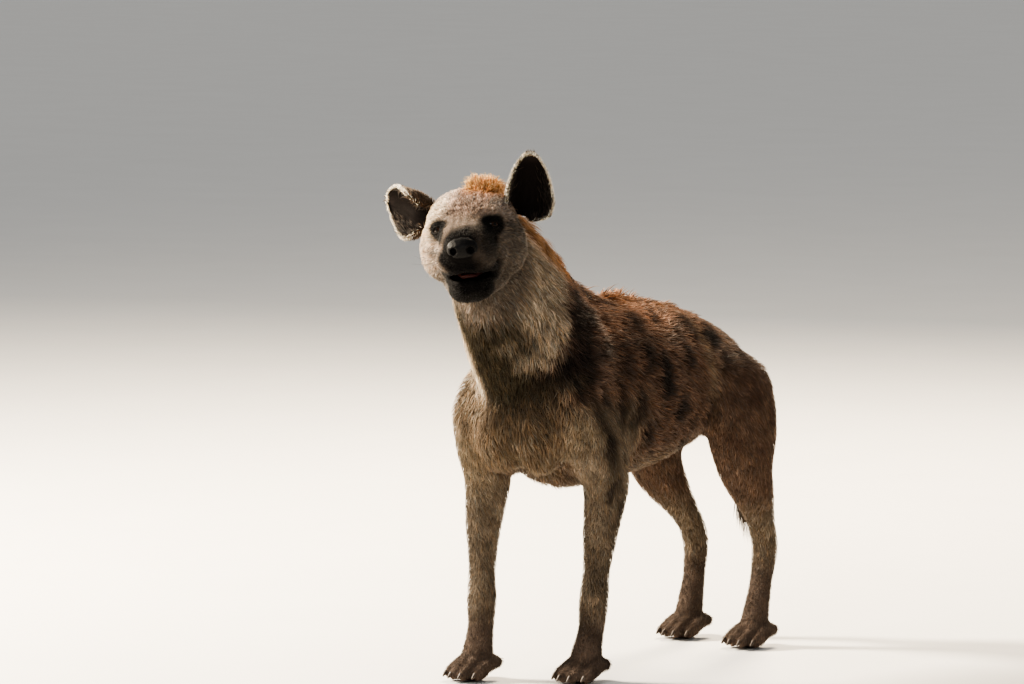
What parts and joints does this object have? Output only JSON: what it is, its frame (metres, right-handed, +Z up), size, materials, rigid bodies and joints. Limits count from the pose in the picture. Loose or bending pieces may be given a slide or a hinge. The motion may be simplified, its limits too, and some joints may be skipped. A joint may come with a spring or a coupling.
{
  "type": "spotted hyena model",
  "caption": "Life-size standing spotted hyena, head raised and turned to its left, ears cupped, mouth a little open, short mane, sloping back and hanging brush tail.",
  "frame": {"origin": "on the floor under the middle of the box round the model", "axes": "+Z up, the animal faces -Y, its left side is +X"},
  "size_m": [0.3312, 1.2072, 1.0212],
  "materials": {
    "face": "short matt grey-tan fur with pinkish brown hair roots on the forehead",
    "dark_hide": "thin black-brown hide under sparse short hair, matt",
    "wet_hide": "black pebbled nose skin, moist and half glossy",
    "tongue": "moist pink-brown mouth skin",
    "eye": "near-black brown eye, glossy",
    "neck_coat": "cream to beige coarse fur, darker under the throat",
    "coat": "shaggy red-brown coarse fur with blurred blackish brown spots",
    "leg_coat": "short brown fur, darker towards the feet",
    "brush": "long coarse black-brown hair",
    "claw": "dark horn, worn matt, smooth"
  },
  "bodies": {
    "root": {"claw_fore_left_1": "claw", "claw_fore_left_2": "claw", "claw_fore_left_3": "claw", "claw_fore_left_4": "claw", "claw_fore_right_1": "claw", "claw_fore_right_2": "claw", "claw_fore_right_3": "claw", "claw_fore_right_4": "claw", "claw_hind_left_1": "claw", "claw_hind_left_2": "claw", "claw_hind_left_3": "claw", "claw_hind_left_4": "claw", "claw_hind_right_1": "claw", "claw_hind_right_2": "claw", "claw_hind_right_3": "claw", "claw_hind_right_4": "claw", "ear_left": "dark_hide", "ear_right": "dark_hide", "eye_left": "eye", "eye_right": "eye", "fore_leg_left": "leg_coat", "fore_leg_right": "leg_coat", "fore_paw_left": "leg_coat", "fore_paw_right": "leg_coat", "head": "face", "hind_foot_left": "leg_coat", "hind_foot_right": "leg_coat", "hind_leg_left": "leg_coat", "hind_leg_right": "leg_coat", "jaw": "face", "neck": "neck_coat", "nose": "wet_hide", "tail": "brush", "tongue": "tongue", "torso": "coat"}
  },
  "joints": []
}
